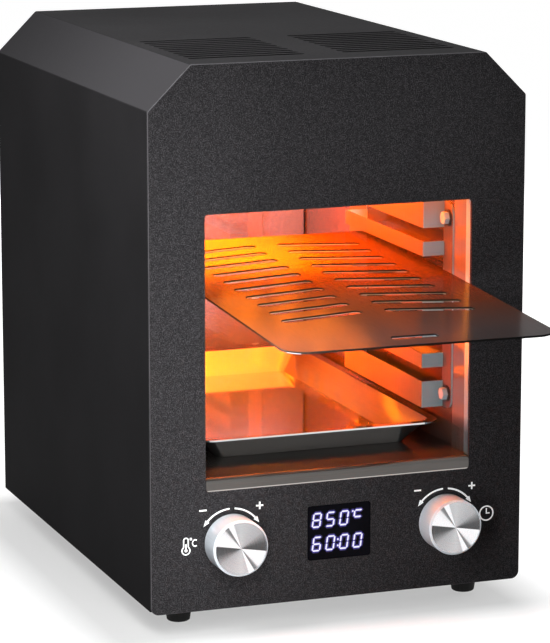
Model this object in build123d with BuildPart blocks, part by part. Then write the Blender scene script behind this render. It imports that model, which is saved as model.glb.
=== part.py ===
from build123d import *

import math
import os

# Upright open-fronted electric grill with heat from above.
# Millimetres, +X to the right, +Y to the back, +Z up, table at z = 0.
# Depths are measured backwards from the front panel's face, heights from the table.

# Clearances
fit_gap = 0.2
seat_gap = 0.2
soft_gap = 0.3
screw_gap = 0.3
running_gap = 0.05

# Casing, panels and feet
side_space = 34.7
rear_space = 37.5
roof_space = 41.0
corner_leg = 26.5
casing_sheet = 1.0
casing_flange = 12.0
bend_radius = 2.0
panel_thickness = 2.0
panel_drop = 2.0
panel_corner = 5.0
panel_edge_round = 0.6
rear_sheet = 1.0
base_sheet = 1.2
foot_height = 15.0
foot_top_radius = 9.0
foot_sole_radius = 7.0
foot_sole_round = 1.5
foot_recess = 7.5
foot_side_inset = 26.0
foot_end_inset = 27.0

# Screws, studs and nuts
screw_radius = 2.0
screw_head_radius = 3.6
screw_head_height = 2.2
screw_length = 9.0
nut_radius = 4.0
nut_height = 3.2
washer_radius = 5.0
washer_height = 1.0
fastener_margin = 46.0
fastener_top_margin = 23.0

# Vent slots in the casing's top, the rear panel and the base plate
vent_side_margin = 35.0
vent_inner_margin = 12.0
vent_width = 4.5
vent_pitch = 9.3
vent_rows = 11
vent_front = 29.3
rear_vent_side_margin = 45.0
rear_vent_inner_margin = 9.0
rear_vent_rows = 8
rear_vent_drop = 79.0
base_vent_length = 40.0
base_vent_rows = 7
base_vent_middle_x = 38.0

# Front opening and stainless chamber
control_zone = 71.0
sill_lip = 8.3
hood_height = 47.7
opening_corner = 2.0
liner_sheet = 1.0
liner_bend = 3.0
liner_flange = 11.0
liner_setback = 10.0
hem_depth = 6.0
hem_show = 0.1
shield_setback = 8.0
support_sheet = 1.5
support_depth = 25.0
support_foot = 14.0
support_front = 48.0
support_inset = 23.5

# Racks on the chamber's side walls
rack_sheet = 1.0
rack_front = 28.5
rack_flange = 13.0
rack_rear_flange = 28.0
rack_length = 130.0
rack_reach = 15.2
rack_lift = 22.2
rack_headroom = 7.2
rack_corner = 7.0
end_strap = 16.5
strap_height = 9.0
shelf_gap = 8.6
strap_count = 5
bolt_edge = 6.3
bolt_end = 9.6

# Grill plate, drawn part way out
plate_width = 164.4
plate_length = 298.0
plate_thickness = 1.2
plate_corner = 14.0
plate_rear_corner = 4.0
plate_side_gap = 3.0
plate_out = 140.5
plate_tilt = 2.15
plate_skew = 0.9
plate_shift = 3.0
plate_shelf_index = 4
slot_rows = 10
slot_first = 77.5
slot_last = 32.4
slot_length = 54.0
slot_width = 8.0
slot_angle = 12.0
slot_middle_x = 33.5
grip_length = 28.0
grip_width = 7.0
grip_corner = 2.0
grip_place = 17.5

# Drip tray
tray_sheet = 1.0
tray_side_gap = 6.2
tray_rear_gap = 2.5
tray_length = 253.0
tray_height = 15.5
tray_front = 29.0
tray_rim = 4.0
tray_run = 14.0
tray_corner = 12.0
tray_base_corner = 5.0

# Heating element under the roof
heater_radius = 4.0
heater_pitch = 25.0
heater_loops = 3
heater_drop = 24.0
heater_front = 32.0
heater_rear_gap = 36.5
heater_bend_gap = 0.5
heater_pin_radius = 2.2
heater_pin_length = 16.0
heater_bar_width = 12.0
heater_bar_sheet = 1.5
heater_bar_tab = 12.0
heater_bar_inset = 45.0
bush_radius = 6.5
bush_flange_radius = 9.0
bush_flange = 4.0
bush_length = 14.0
bush_nose = 3.0

# Insulation, probe and cut-out
insulation_thickness = 20.0
rear_insulation = 10.0
insulation_front = 14.0
probe_radius = 2.0
probe_reach = 34.0
probe_tail = 20.0
probe_collar_radius = 5.5
probe_collar = 5.0
probe_x = 30.0
probe_drop = 8.3
cutout_radius = 8.0
cutout_height = 7.0
cutout_tab_width = 8.0
cutout_tab = 0.8
cutout_x = -30.0
cutout_rise = 86.7

# Controls on the front panel
control_rise = 39.5
knob_side_inset = 50.7
knob_radius = 17.25
knob_length = 17.0
knob_gap = 1.0
knob_edge = 1.2
knob_land = 0.45
knob_dish = 0.25
knob_hollow_radius = 9.0
knob_hollow = 6.0
knob_bore = 12.0
shaft_radius = 3.0
shaft_flat = 1.5
encoder_width = 12.0
encoder_height = 13.0
encoder_depth = 7.0
encoder_pocket = 3.0
bushing_radius = 3.6
bushing_length = 5.0
bushing_nut_radius = 5.8
bushing_nut = 2.0
window_width = 41.0
window_height = 34.0
window_corner = 1.5
window_flange = 2.0
window_back = 1.2
window_proud = 0.3
display_inset = 1.0
board_side_gap = 10.0
board_height = 44.0
board_sheet = 1.6
standoff_radius = 3.0
standoff_inset_x = 9.0
standoff_inset_z = 5.0

# Power electronics on the base plate
power_board_width = 110.0
power_board_depth = 110.0
power_board_front = 100.0
spacer_height = 6.0
spacer_radius = 3.0
spacer_inset = 6.0
relay_size = (20.0, 28.0, 16.0)
relay_place = (-28.0, 20.0)
transformer_size = (40.0, 34.0, 30.0)
transformer_place = (24.0, 26.0)
block_round = 2.0
ribbon_width = 20.0
ribbon_thickness = 0.8
ribbon_drop_depth = 30.0
ribbon_drop = 13.5
terminal_width = 44.0
terminal_depth = 14.0
terminal_height = 14.0
terminal_rear_gap = 17.0
terminal_pitch = 11.0
lead_radius = 1.5
lead_bend = 5.0
lead_rise = 40.0

# Power switch and cord gland in the rear panel
switch_side_inset = 42.0
switch_rise = 34.0
switch_body_width = 13.0
switch_body_height = 19.2
switch_body_depth = 15.0
switch_bezel = 1.8
switch_bezel_lip = 1.2
switch_wall = 1.3
switch_floor = 4.0
rocker_end_room = 1.3
rocker_side_gap = 0.4
rocker_end = 5.5
rocker_dip = 4.0
rocker_root = 1.5
rocker_sink = 5.0
rocker_tilt = 10.0
rocker_pin_radius = 1.2
rocker_pin_length = 0.9
gland_side_inset = 42.0
gland_rise = 34.0
gland_bore_radius = 3.75
gland_radius = 6.5
gland_head_radius = 9.0
gland_head = 5.0
gland_tail = 12.0
gland_nut_radius = 9.6
gland_nut = 4.0
gland_edge = 1.0

# Worked-out places
plate_half = plate_width / 2
wall_inner = plate_half + plate_side_gap + max(liner_sheet, rack_sheet)
wall_outer = wall_inner + liner_sheet
hem_face = wall_inner - liner_sheet
opening_width = 2 * (hem_face + hem_show)
casing_half = opening_width / 2 + side_space

wall_front = panel_thickness + fit_gap
chamber_depth = tray_front + tray_length + tray_rear_gap
back_face = chamber_depth + liner_sheet
casing_depth = chamber_depth + rear_space
front_face = (plate_out - casing_depth - gland_head) / 2

casing_bottom = foot_height - casing_sheet
panel_bottom = casing_bottom - panel_drop
opening_sill = casing_bottom + control_zone
floor_height = opening_sill + sill_lip
wall_low = floor_height - 2 * liner_sheet
rack_bottom = floor_height + rack_lift
shelf_pitch = strap_height + shelf_gap
first_shelf = rack_bottom + end_strap
rack_top = first_shelf + strap_count * shelf_pitch + shelf_gap + end_strap
opening_top = rack_top + rack_headroom
roof_height = opening_top + hood_height
casing_height = roof_height + roof_space
corner_level = casing_height - corner_leg
base_top = foot_height + base_sheet
wrap_end = casing_depth - rear_sheet
flange_edge = casing_half - casing_flange
flange_line = casing_half - (casing_sheet + casing_flange) / 2
vent_length = casing_half - vent_side_margin - vent_inner_margin
vent_middle_x = vent_inner_margin + vent_length / 2
rear_vent_length = casing_half - rear_vent_side_margin - rear_vent_inner_margin
rear_vent_middle_x = rear_vent_inner_margin + rear_vent_length / 2
fastener_levels = [
    casing_bottom + fastener_margin,
    (casing_bottom + corner_level) / 2,
    corner_level - fastener_top_margin,
]
base_screw_depths = [fastener_margin, casing_depth / 2, casing_depth - fastener_margin]
screw_hole = screw_radius + screw_gap
foot_x = casing_half - foot_side_inset
foot_depths = {"front": foot_end_inset, "rear": casing_depth - foot_end_inset}

liner_half = wall_outer + liner_flange
support_rear = chamber_depth - support_inset - support_depth
rack_face = wall_inner - rack_sheet
strip_face = wall_inner - rack_reach
rack_mouth = rack_front + rack_flange
rack_back = rack_mouth + rack_length
rack_end = rack_back + rack_rear_flange
bolt_depths = [rack_front + bolt_edge, rack_end - bolt_edge]
bolt_levels = [rack_bottom + bolt_end, rack_top - bolt_end]
bolt_spots = [(depth, height) for depth in bolt_depths for height in bolt_levels]

tilt = math.radians(plate_tilt)
skew = math.radians(plate_skew)
plate_seat = first_shelf + plate_shelf_index * shelf_pitch + seat_gap
plate_front_height = plate_seat - (rack_mouth + plate_out) * math.tan(tilt)
plate_lag = (plate_half - plate_corner) * math.sin(skew)
slot_pitch = (plate_length - slot_first - slot_last) / (slot_rows - 1)

tray_low = floor_height + seat_gap
tray_top = tray_low + tray_height
tray_middle = tray_front + tray_length / 2
tray_width = 2 * (wall_inner - tray_side_gap)

heater_runs = 2 * heater_loops
heater_height = roof_height - heater_drop
heater_rear_turn = chamber_depth - heater_rear_gap
heater_x = [(i - (heater_runs - 1) / 2) * heater_pitch for i in range(heater_runs)]
heater_end = back_face + bush_length
heater_pin_end = heater_end + heater_pin_length
probe_height = opening_top - probe_drop
cutout_level = floor_height + cutout_rise

control_height = casing_bottom + control_rise
knob_offset = casing_half - knob_side_inset
knob_x = {"temperature": -knob_offset, "timer": knob_offset}
board_front = panel_thickness + encoder_depth
board_back = board_front + board_sheet
board_width = 2 * (flange_edge - board_side_gap)
standoff_x = board_width / 2 - standoff_inset_x
standoff_z = board_height / 2 - standoff_inset_z
ribbon_height = control_height - ribbon_drop
power_board_low = base_top + spacer_height
power_board_top = power_board_low + board_sheet
terminal_top = base_top + terminal_height
terminal_middle = wrap_end - terminal_rear_gap
switch_x = casing_half - switch_side_inset
switch_height = casing_bottom + switch_rise
gland_x = gland_side_inset - casing_half
gland_height = casing_bottom + gland_rise
bezel_face = casing_depth + switch_bezel
rocker_pivot = bezel_face - rocker_sink
gland_inner_end = wrap_end - gland_tail
switch_inner_end = casing_depth - switch_body_depth


def facing(depth):
    """Upright plane that faces the user; its sketches read (x, height)."""
    return Plane.XZ.offset(-(front_face + depth))


def casing_profile(inset, low):
    """Outline of the casing seen from the front, moved inwards by inset and cut off at low."""
    half = casing_half - inset
    top = casing_height - inset
    leg = corner_leg - inset * (2 - math.sqrt(2))
    return [
        (-half, low),
        (half, low),
        (half, top - leg),
        (half - leg, top),
        (leg - half, top),
        (-half, top - leg),
    ]


def slab(x, depth, height, mode=Mode.ADD):
    """Square block between two values of x, of depth and of height."""
    with Locations((x[0], front_face + depth[0], height[0])):
        Box(
            x[1] - x[0],
            depth[1] - depth[0],
            height[1] - height[0],
            align=(Align.MIN, Align.MIN, Align.MIN),
            mode=mode,
        )


def rod(x, height, radius, depth, mode=Mode.ADD):
    """Round bar that runs from front to back, between two depths."""
    with Locations((x, front_face + depth[0], height)):
        Cylinder(
            radius,
            depth[1] - depth[0],
            rotation=(-90, 0, 0),
            align=(Align.CENTER, Align.CENTER, Align.MIN),
            mode=mode,
        )


def crossbar(depth, height, radius, x, mode=Mode.ADD):
    """Round bar that runs from left to right, between two values of x."""
    with Locations((x[0], front_face + depth, height)):
        Cylinder(
            radius,
            x[1] - x[0],
            rotation=(0, 90, 0),
            align=(Align.CENTER, Align.CENTER, Align.MIN),
            mode=mode,
        )


def post(x, depth, radius, height, mode=Mode.ADD):
    """Round bar that stands upright, between two heights."""
    with Locations((x, front_face + depth, height[0])):
        Cylinder(
            radius,
            height[1] - height[0],
            align=(Align.CENTER, Align.CENTER, Align.MIN),
            mode=mode,
        )


def write(builder, name):
    """Labels a finished piece and writes it."""
    builder.part.label = name
    export_step(builder.part, f"parts/{name}.step")


os.makedirs("parts", exist_ok=True)

# Outer casing: one folded wrap with turned-in edges
with BuildPart() as outer_casing:
    with BuildSketch(facing(panel_thickness)) as wrap_section:
        Polygon(*casing_profile(0, casing_bottom))
        fillet(wrap_section.vertices().filter_by(lambda v: v.Y > foot_height), bend_radius)
        Polygon(*casing_profile(casing_sheet, foot_height), mode=Mode.SUBTRACT)
    extrude(amount=panel_thickness - wrap_end)
    for edge_depth in (panel_thickness, wrap_end - casing_sheet):
        with BuildSketch(facing(edge_depth)):
            Polygon(*casing_profile(casing_sheet, foot_height))
            Polygon(*casing_profile(casing_flange, foot_height), mode=Mode.SUBTRACT)
        extrude(amount=-casing_sheet)
    slab((-flange_edge, flange_edge), (0, casing_depth), (0, foot_height), mode=Mode.SUBTRACT)
    with BuildSketch(Plane.XY.offset(casing_height)):
        vent_middle = front_face + vent_front + (vent_rows - 1) * vent_pitch / 2
        with Locations((-vent_middle_x, vent_middle), (vent_middle_x, vent_middle)):
            with GridLocations(0, vent_pitch, 1, vent_rows):
                SlotOverall(vent_length, vent_width)
    extrude(amount=-2 * casing_sheet, mode=Mode.SUBTRACT)
    for x in (-flange_line, flange_line):
        for level in fastener_levels:
            rod(x, level, screw_hole, (panel_thickness, casing_depth), mode=Mode.SUBTRACT)
        for depth in base_screw_depths:
            post(x, depth, screw_hole, (0, foot_height), mode=Mode.SUBTRACT)
write(outer_casing, "outer_casing")

# Front panel: thick plate with weld studs on its back
with BuildPart() as front_panel:
    with BuildSketch(facing(0)) as panel_face:
        Polygon(*casing_profile(0, panel_bottom))
        fillet(panel_face.vertices().filter_by(lambda v: v.Y < foot_height), panel_corner)
        fillet(panel_face.vertices().filter_by(lambda v: v.Y > opening_sill), bend_radius)
    extrude(amount=-panel_thickness)
    fillet(front_panel.faces().sort_by(Axis.Y)[0].edges(), panel_edge_round)
    with BuildSketch(facing(0)):
        with Locations((0, (opening_sill + opening_top) / 2)):
            RectangleRounded(opening_width, opening_top - opening_sill, opening_corner)
        with Locations((0, control_height)):
            RectangleRounded(window_width, window_height, window_corner)
        with Locations(*((x, control_height) for x in knob_x.values())):
            Circle(bushing_radius + screw_gap)
    extrude(amount=-panel_thickness, mode=Mode.SUBTRACT)
    for x in (-flange_line, flange_line):
        for level in fastener_levels:
            rod(x, level, screw_radius, (panel_thickness, panel_thickness + screw_length))
write(front_panel, "front_panel")

# Rear panel with vents, switch cut-out and gland hole
with BuildPart() as rear_panel:
    with BuildSketch(facing(wrap_end)) as rear_face:
        Polygon(*casing_profile(0, casing_bottom))
        fillet(rear_face.vertices().filter_by(lambda v: v.Y > foot_height), bend_radius)
        rear_vent_height = casing_height - rear_vent_drop
        with Locations((-rear_vent_middle_x, rear_vent_height), (rear_vent_middle_x, rear_vent_height)):
            with GridLocations(0, vent_pitch, 1, rear_vent_rows):
                SlotOverall(rear_vent_length, vent_width, mode=Mode.SUBTRACT)
        with Locations((switch_x, switch_height)):
            Rectangle(
                switch_body_width + 2 * fit_gap,
                switch_body_height + 2 * fit_gap,
                mode=Mode.SUBTRACT,
            )
        with Locations((gland_x, gland_height)):
            Circle(gland_radius + fit_gap, mode=Mode.SUBTRACT)
        with Locations(*((x, z) for x in (-flange_line, flange_line) for z in fastener_levels)):
            Circle(screw_hole, mode=Mode.SUBTRACT)
    extrude(amount=-rear_sheet)
write(rear_panel, "rear_panel")

with BuildPart() as rear_screws:
    for x in (-flange_line, flange_line):
        for level in fastener_levels:
            rod(x, level, screw_head_radius, (casing_depth, casing_depth + screw_head_height))
            rod(x, level, screw_radius, (casing_depth - screw_length, casing_depth))
    rims = rear_screws.faces().filter_by(Axis.Y).group_by(Axis.Y)[-1].edges()
    fillet(rims, screw_head_height / 2)
write(rear_screws, "rear_screws")

# Base plate on the casing's bottom flanges
with BuildPart() as base_plate:
    base_half = casing_half - casing_sheet - fit_gap
    base_ends = (panel_thickness + casing_sheet + fit_gap, wrap_end - casing_sheet - fit_gap)
    slab((-base_half, base_half), base_ends, (foot_height, base_top))
    with BuildSketch(Plane.XY.offset(base_top)):
        board_middle = front_face + power_board_front + power_board_depth / 2
        with Locations((-base_vent_middle_x, board_middle), (base_vent_middle_x, board_middle)):
            with GridLocations(0, vent_pitch, 1, base_vent_rows):
                SlotOverall(base_vent_length, vent_width)
        for x in (-flange_line, flange_line):
            with Locations(*((x, front_face + depth) for depth in base_screw_depths)):
                Circle(screw_hole)
        for x in (-foot_x, foot_x):
            with Locations(*((x, front_face + depth) for depth in foot_depths.values())):
                Circle(screw_hole)
    extrude(amount=-base_sheet, mode=Mode.SUBTRACT)
write(base_plate, "base_plate")

with BuildPart() as base_screws:
    for x in (-flange_line, flange_line):
        for depth in base_screw_depths:
            post(x, depth, screw_head_radius, (casing_bottom - screw_head_height, casing_bottom))
            post(x, depth, screw_radius, (casing_bottom, casing_bottom + screw_length))
write(base_screws, "base_screws")

# Rubber feet, each held by a screw sunk into its sole
for end, foot_depth in foot_depths.items():
    for side, sign in (("left", -1), ("right", 1)):
        with BuildPart(Plane((sign * foot_x, front_face + foot_depth, 0))) as foot:
            Cone(
                foot_sole_radius,
                foot_top_radius,
                foot_height,
                align=(Align.CENTER, Align.CENTER, Align.MIN),
            )
            fillet(foot.edges().filter_by(GeomType.CIRCLE).sort_by(Axis.Z)[0], foot_sole_round)
            with Locations(Rotation(180, 0, 0)):
                CounterBoreHole(screw_hole, screw_head_radius + screw_gap, foot_recess)
        write(foot, f"foot_{end}_{side}")

with BuildPart() as foot_screws:
    for x in (-foot_x, foot_x):
        for depth in foot_depths.values():
            post(x, depth, screw_head_radius, (foot_recess - screw_head_height, foot_recess))
            post(x, depth, screw_radius, (foot_recess, base_top + nut_height))
write(foot_screws, "foot_screws")

# Nuts on the front panel's studs and on the foot screws
with BuildPart() as frame_nuts:
    with BuildSketch(facing(panel_thickness + casing_sheet)):
        with Locations(*((x, z) for x in (-flange_line, flange_line) for z in fastener_levels)):
            RegularPolygon(nut_radius, 6)
            Circle(screw_radius + running_gap, mode=Mode.SUBTRACT)
    extrude(amount=-nut_height)
    with BuildSketch(Plane.XY.offset(base_top)):
        for x in (-foot_x, foot_x):
            with Locations(*((x, front_face + depth) for depth in foot_depths.values())):
                RegularPolygon(nut_radius, 6)
                Circle(screw_radius + running_gap, mode=Mode.SUBTRACT)
    extrude(amount=nut_height)
write(frame_nuts, "frame_nuts")

# Chamber side walls with a hemmed front edge and flanges for floor, roof and back wall
with BuildPart() as chamber_right_wall:
    upright = (wall_inner, wall_outer)
    outward = (wall_inner, liner_half)
    slab(upright, (wall_front, chamber_depth), (wall_low, roof_height))
    ledge = (wall_low, wall_low + liner_sheet)
    slab((wall_inner - liner_flange, wall_outer), (liner_setback, chamber_depth), ledge)
    slab(outward, (liner_setback, chamber_depth), (roof_height - liner_sheet, roof_height))
    slab(outward, (chamber_depth - liner_sheet, chamber_depth), (wall_low, roof_height))
    hem = (wall_front, wall_front + hem_depth)
    slab((hem_face, wall_inner), hem, (floor_height + fit_gap, opening_top - fit_gap))
    for depth, height in bolt_spots:
        crossbar(depth, height, screw_hole, upright, mode=Mode.SUBTRACT)
write(chamber_right_wall, "chamber_right_wall")

with BuildPart() as chamber_left_wall:
    mirror(chamber_right_wall.part, about=Plane.YZ)
write(chamber_left_wall, "chamber_left_wall")

# Chamber floor with a lip that hangs in the opening
with BuildPart() as chamber_floor:
    floor_half = opening_width / 2 - fit_gap
    lip_low = opening_sill + fit_gap
    slab((-floor_half, floor_half), (0, chamber_depth), (floor_height - liner_sheet, floor_height))
    slab((-floor_half, floor_half), (0, liner_sheet), (lip_low, floor_height))
    lip_corners = chamber_floor.edges().filter_by(Axis.Y).group_by(Axis.Z)[0]
    fillet(lip_corners, opening_corner)
    outer_bend = chamber_floor.edges().filter_by(Axis.X).group_by(Axis.Z)[-1].sort_by(Axis.Y)[0]
    fillet(outer_bend, liner_bend)
    inner_bend = chamber_floor.edges().filter_by(Axis.X).group_by(Axis.Z)[-2].sort_by(Axis.Y)[0]
    fillet(inner_bend, liner_bend - liner_sheet)
write(chamber_floor, "chamber_floor")

with BuildPart() as chamber_back_wall:
    slab((-liner_half, liner_half), (chamber_depth, back_face), (wall_low, roof_height))
    for x in (heater_x[0], heater_x[-1]):
        rod(x, heater_height, bush_radius + fit_gap, (chamber_depth, back_face), mode=Mode.SUBTRACT)
    rod(probe_x, probe_height, probe_radius + fit_gap, (chamber_depth, back_face), mode=Mode.SUBTRACT)
write(chamber_back_wall, "chamber_back_wall")

with BuildPart() as chamber_roof:
    slab((-liner_half, liner_half), (liner_setback, back_face), (roof_height, roof_height + liner_sheet))
write(chamber_roof, "chamber_roof")

# Shield behind the front panel, hung from the roof by its turned-back top edge
with BuildPart() as front_heat_shield:
    shield = (fit_gap - wall_inner, wall_inner - fit_gap)
    slab(shield, (shield_setback, shield_setback + liner_sheet), (opening_top, roof_height))
    slab(shield, (shield_setback, shield_setback + liner_flange), (roof_height - liner_sheet, roof_height))
write(front_heat_shield, "front_heat_shield")

# Bridges that carry the chamber above the electronics
for end, bridge_front in (("front", support_front), ("rear", support_rear)):
    with BuildPart() as chamber_support:
        with BuildSketch(facing(bridge_front)):
            outside = wall_outer + support_foot
            inside = wall_outer - support_sheet
            half_bridge = [
                (outside, base_top),
                (outside, base_top + support_sheet),
                (wall_outer, base_top + support_sheet),
                (wall_outer, wall_low),
            ]
            under_bridge = [(inside, wall_low - support_sheet), (inside, base_top)]
            Polygon(
                *half_bridge,
                *((-x, z) for x, z in reversed(half_bridge)),
                *((-x, z) for x, z in reversed(under_bridge)),
                *under_bridge,
            )
        extrude(amount=-support_depth)
    write(chamber_support, f"chamber_support_{end}")

# Racks: one strip of sheet each, bent round the shelves
with BuildPart() as rack_right:
    with BuildSketch(Plane.XY.offset(rack_bottom)):
        plan = [
            (wall_inner, rack_front),
            (wall_inner, rack_mouth + rack_sheet),
            (strip_face + rack_sheet, rack_mouth + rack_sheet),
            (strip_face + rack_sheet, rack_back - rack_sheet),
            (wall_inner, rack_back - rack_sheet),
            (wall_inner, rack_end),
            (rack_face, rack_end),
            (rack_face, rack_back),
            (strip_face, rack_back),
            (strip_face, rack_mouth),
            (rack_face, rack_mouth),
            (rack_face, rack_front),
        ]
        Polygon(*((x, front_face + depth) for x, depth in plan))
    extrude(amount=rack_top - rack_bottom)
    for shelf in range(strap_count + 1):
        shelf_floor = first_shelf + shelf * shelf_pitch
        slab(
            (strip_face, rack_face),
            (rack_mouth, rack_back),
            (shelf_floor, shelf_floor + shelf_gap),
            mode=Mode.SUBTRACT,
        )
    ends = rack_right.edges().filter_by(Axis.X).group_by(Axis.Y)
    fillet(ends[0] + ends[-1], rack_corner)
    for depth, height in bolt_spots:
        crossbar(depth, height, screw_hole, (rack_face, wall_inner), mode=Mode.SUBTRACT)
write(rack_right, "rack_right")

with BuildPart() as rack_left:
    mirror(rack_right.part, about=Plane.YZ)
write(rack_left, "rack_left")

# Rack bolts with washers inside the chamber and nuts outside it
head_face = rack_face - washer_height
nut_end = wall_outer + nut_height
with BuildPart() as rack_bolts:
    for depth, height in bolt_spots:
        crossbar(depth, height, screw_radius, (head_face, nut_end + screw_gap))
    with BuildSketch(Plane.YZ.offset(head_face)):
        with Locations(*((front_face + depth, height) for depth, height in bolt_spots)):
            RegularPolygon(nut_radius, 6)
    extrude(amount=-nut_height)
    mirror(about=Plane.YZ)
write(rack_bolts, "rack_bolts")

with BuildPart() as rack_washers:
    with BuildSketch(Plane.YZ.offset(head_face)):
        with Locations(*((front_face + depth, height) for depth, height in bolt_spots)):
            Circle(washer_radius)
            Circle(screw_hole, mode=Mode.SUBTRACT)
    extrude(amount=washer_height)
    mirror(about=Plane.YZ)
write(rack_washers, "rack_washers")

with BuildPart() as rack_nuts:
    with BuildSketch(Plane.YZ.offset(wall_outer)):
        with Locations(*((front_face + depth, height) for depth, height in bolt_spots)):
            RegularPolygon(nut_radius, 6)
            Circle(screw_radius + running_gap, mode=Mode.SUBTRACT)
    extrude(amount=nut_height)
    mirror(about=Plane.YZ)
write(rack_nuts, "rack_nuts")

# Grill plate, lying in its own tilted plane with the front edge drooping, a little askew in its side play
plate_plane = Plane(
    origin=(-plate_shift, front_face - plate_out + plate_lag, plate_front_height),
    x_dir=(math.cos(skew), -math.sin(skew), 0),
    z_dir=(-math.sin(skew) * math.sin(tilt), -math.cos(skew) * math.sin(tilt), math.cos(tilt)),
)
with BuildPart() as grill_plate:
    with BuildSketch(plate_plane) as plate_outline:
        with Locations((0, plate_length / 2)):
            Rectangle(2 * plate_half, plate_length)
        fillet(plate_outline.vertices().group_by(Axis.Y)[0], plate_corner)
        fillet(plate_outline.vertices().group_by(Axis.Y)[-1], plate_rear_corner)
        for row in range(slot_rows):
            slot_place = slot_first + row * slot_pitch
            with Locations((slot_middle_x, slot_place)):
                SlotOverall(slot_length, slot_width, rotation=-slot_angle, mode=Mode.SUBTRACT)
            with Locations((-slot_middle_x, slot_place)):
                SlotOverall(slot_length, slot_width, rotation=slot_angle, mode=Mode.SUBTRACT)
        with Locations((0, grip_place)):
            RectangleRounded(grip_length, grip_width, grip_corner, mode=Mode.SUBTRACT)
    extrude(amount=plate_thickness)
write(grill_plate, "grill_plate")

# Drip tray with sloping walls and a flat rim
tray_slope = tray_run / tray_height
wall_across = tray_sheet * math.hypot(1, tray_slope)
mouth_width = tray_width - 2 * tray_rim
mouth_length = tray_length - 2 * tray_rim
pan_width = mouth_width - 2 * tray_run
pan_length = mouth_length - 2 * tray_run
inner_pan = 2 * (tray_slope * tray_sheet - wall_across)
with BuildPart() as drip_tray:
    tray_origin = (0, front_face + tray_middle)
    with BuildSketch(Plane.XY.offset(tray_low)):
        with Locations(tray_origin):
            RectangleRounded(pan_width, pan_length, tray_base_corner)
    with BuildSketch(Plane.XY.offset(tray_top)):
        with Locations(tray_origin):
            RectangleRounded(mouth_width, mouth_length, tray_corner - tray_rim)
    loft()
    with BuildSketch(Plane.XY.offset(tray_top)):
        with Locations(tray_origin):
            RectangleRounded(tray_width, tray_length, tray_corner)
    extrude(amount=-tray_sheet)
    with BuildSketch(Plane.XY.offset(tray_low + tray_sheet)):
        with Locations(tray_origin):
            RectangleRounded(pan_width + inner_pan, pan_length + inner_pan, tray_base_corner)
    with BuildSketch(Plane.XY.offset(tray_top)):
        with Locations(tray_origin):
            RectangleRounded(
                mouth_width - 2 * wall_across,
                mouth_length - 2 * wall_across,
                tray_corner - tray_rim,
            )
    loft(mode=Mode.SUBTRACT)
write(drip_tray, "drip_tray")

# Heating element: a tube bent to and fro, its ends going out through the back wall
with BuildPart() as heating_element:
    turns = []
    for i, x in enumerate(heater_x):
        ends_of_run = [heater_rear_turn, heater_front]
        if i in (0, heater_runs - 1):
            ends_of_run[0] = heater_end
        if i % 2:
            ends_of_run.reverse()
        turns += [(x, front_face + depth, heater_height) for depth in ends_of_run]
    with BuildLine() as heater_path:
        FilletPolyline(*turns, radius=heater_pitch / 2 - heater_bend_gap)
    with BuildSketch(Plane(origin=turns[0], z_dir=(0, -1, 0))):
        Circle(heater_radius)
    sweep()
    for x in (heater_x[0], heater_x[-1]):
        rod(x, heater_height, heater_pin_radius, (heater_end, heater_pin_end))
write(heating_element, "heating_element")

heater_bar_top = heater_height - heater_radius - seat_gap
with BuildPart() as heater_bars:
    for middle in (heater_front + heater_bar_inset, heater_rear_turn - heater_bar_inset):
        bar = (middle - heater_bar_width / 2, middle + heater_bar_width / 2)
        slab((-wall_inner, wall_inner), bar, (heater_bar_top - heater_bar_sheet, heater_bar_top))
        tab = (heater_bar_top - heater_bar_tab, heater_bar_top)
        slab((wall_inner - heater_bar_sheet, wall_inner), bar, tab)
        slab((-wall_inner, heater_bar_sheet - wall_inner), bar, tab)
write(heater_bars, "heater_bars")

with BuildPart() as heater_bushes:
    for x in (heater_x[0], heater_x[-1]):
        rod(x, heater_height, bush_radius, (chamber_depth - bush_nose, heater_end))
        rod(x, heater_height, bush_flange_radius, (back_face, back_face + bush_flange))
        rod(
            x,
            heater_height,
            heater_radius + fit_gap,
            (chamber_depth - bush_nose, heater_end),
            mode=Mode.SUBTRACT,
        )
write(heater_bushes, "heater_bushes")

# Insulation blankets round the chamber
blanket_low = wall_low + liner_sheet + soft_gap
blanket_top = roof_height - liner_sheet - soft_gap
with BuildPart() as insulation_right:
    blanket_face = wall_outer + soft_gap
    slab(
        (blanket_face, blanket_face + insulation_thickness),
        (insulation_front, chamber_depth - liner_sheet - soft_gap),
        (blanket_low, blanket_top),
    )
    for depth, height in bolt_spots:
        crossbar(
            depth,
            height,
            nut_radius + 2 * soft_gap,
            (wall_outer, blanket_face + insulation_thickness),
            mode=Mode.SUBTRACT,
        )
write(insulation_right, "insulation_right")

with BuildPart() as insulation_left:
    mirror(insulation_right.part, about=Plane.YZ)
write(insulation_left, "insulation_left")

with BuildPart() as insulation_top:
    blanket_base = roof_height + liner_sheet + soft_gap
    slab(
        (-liner_half, liner_half),
        (insulation_front, chamber_depth),
        (blanket_base, blanket_base + insulation_thickness),
    )
write(insulation_top, "insulation_top")

with BuildPart() as insulation_rear:
    blanket_front = back_face + soft_gap
    blanket_back = blanket_front + rear_insulation
    slab((-liner_half, liner_half), (blanket_front, blanket_back), (blanket_low, blanket_top))
    for x in (heater_x[0], heater_x[-1]):
        rod(
            x,
            heater_height,
            bush_flange_radius + soft_gap,
            (back_face, blanket_back),
            mode=Mode.SUBTRACT,
        )
    rod(
        probe_x,
        probe_height,
        probe_collar_radius + soft_gap,
        (back_face, blanket_back),
        mode=Mode.SUBTRACT,
    )
    rod(
        cutout_x,
        cutout_level,
        cutout_radius + soft_gap,
        (back_face, blanket_back),
        mode=Mode.SUBTRACT,
    )
write(insulation_rear, "insulation_rear")

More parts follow.
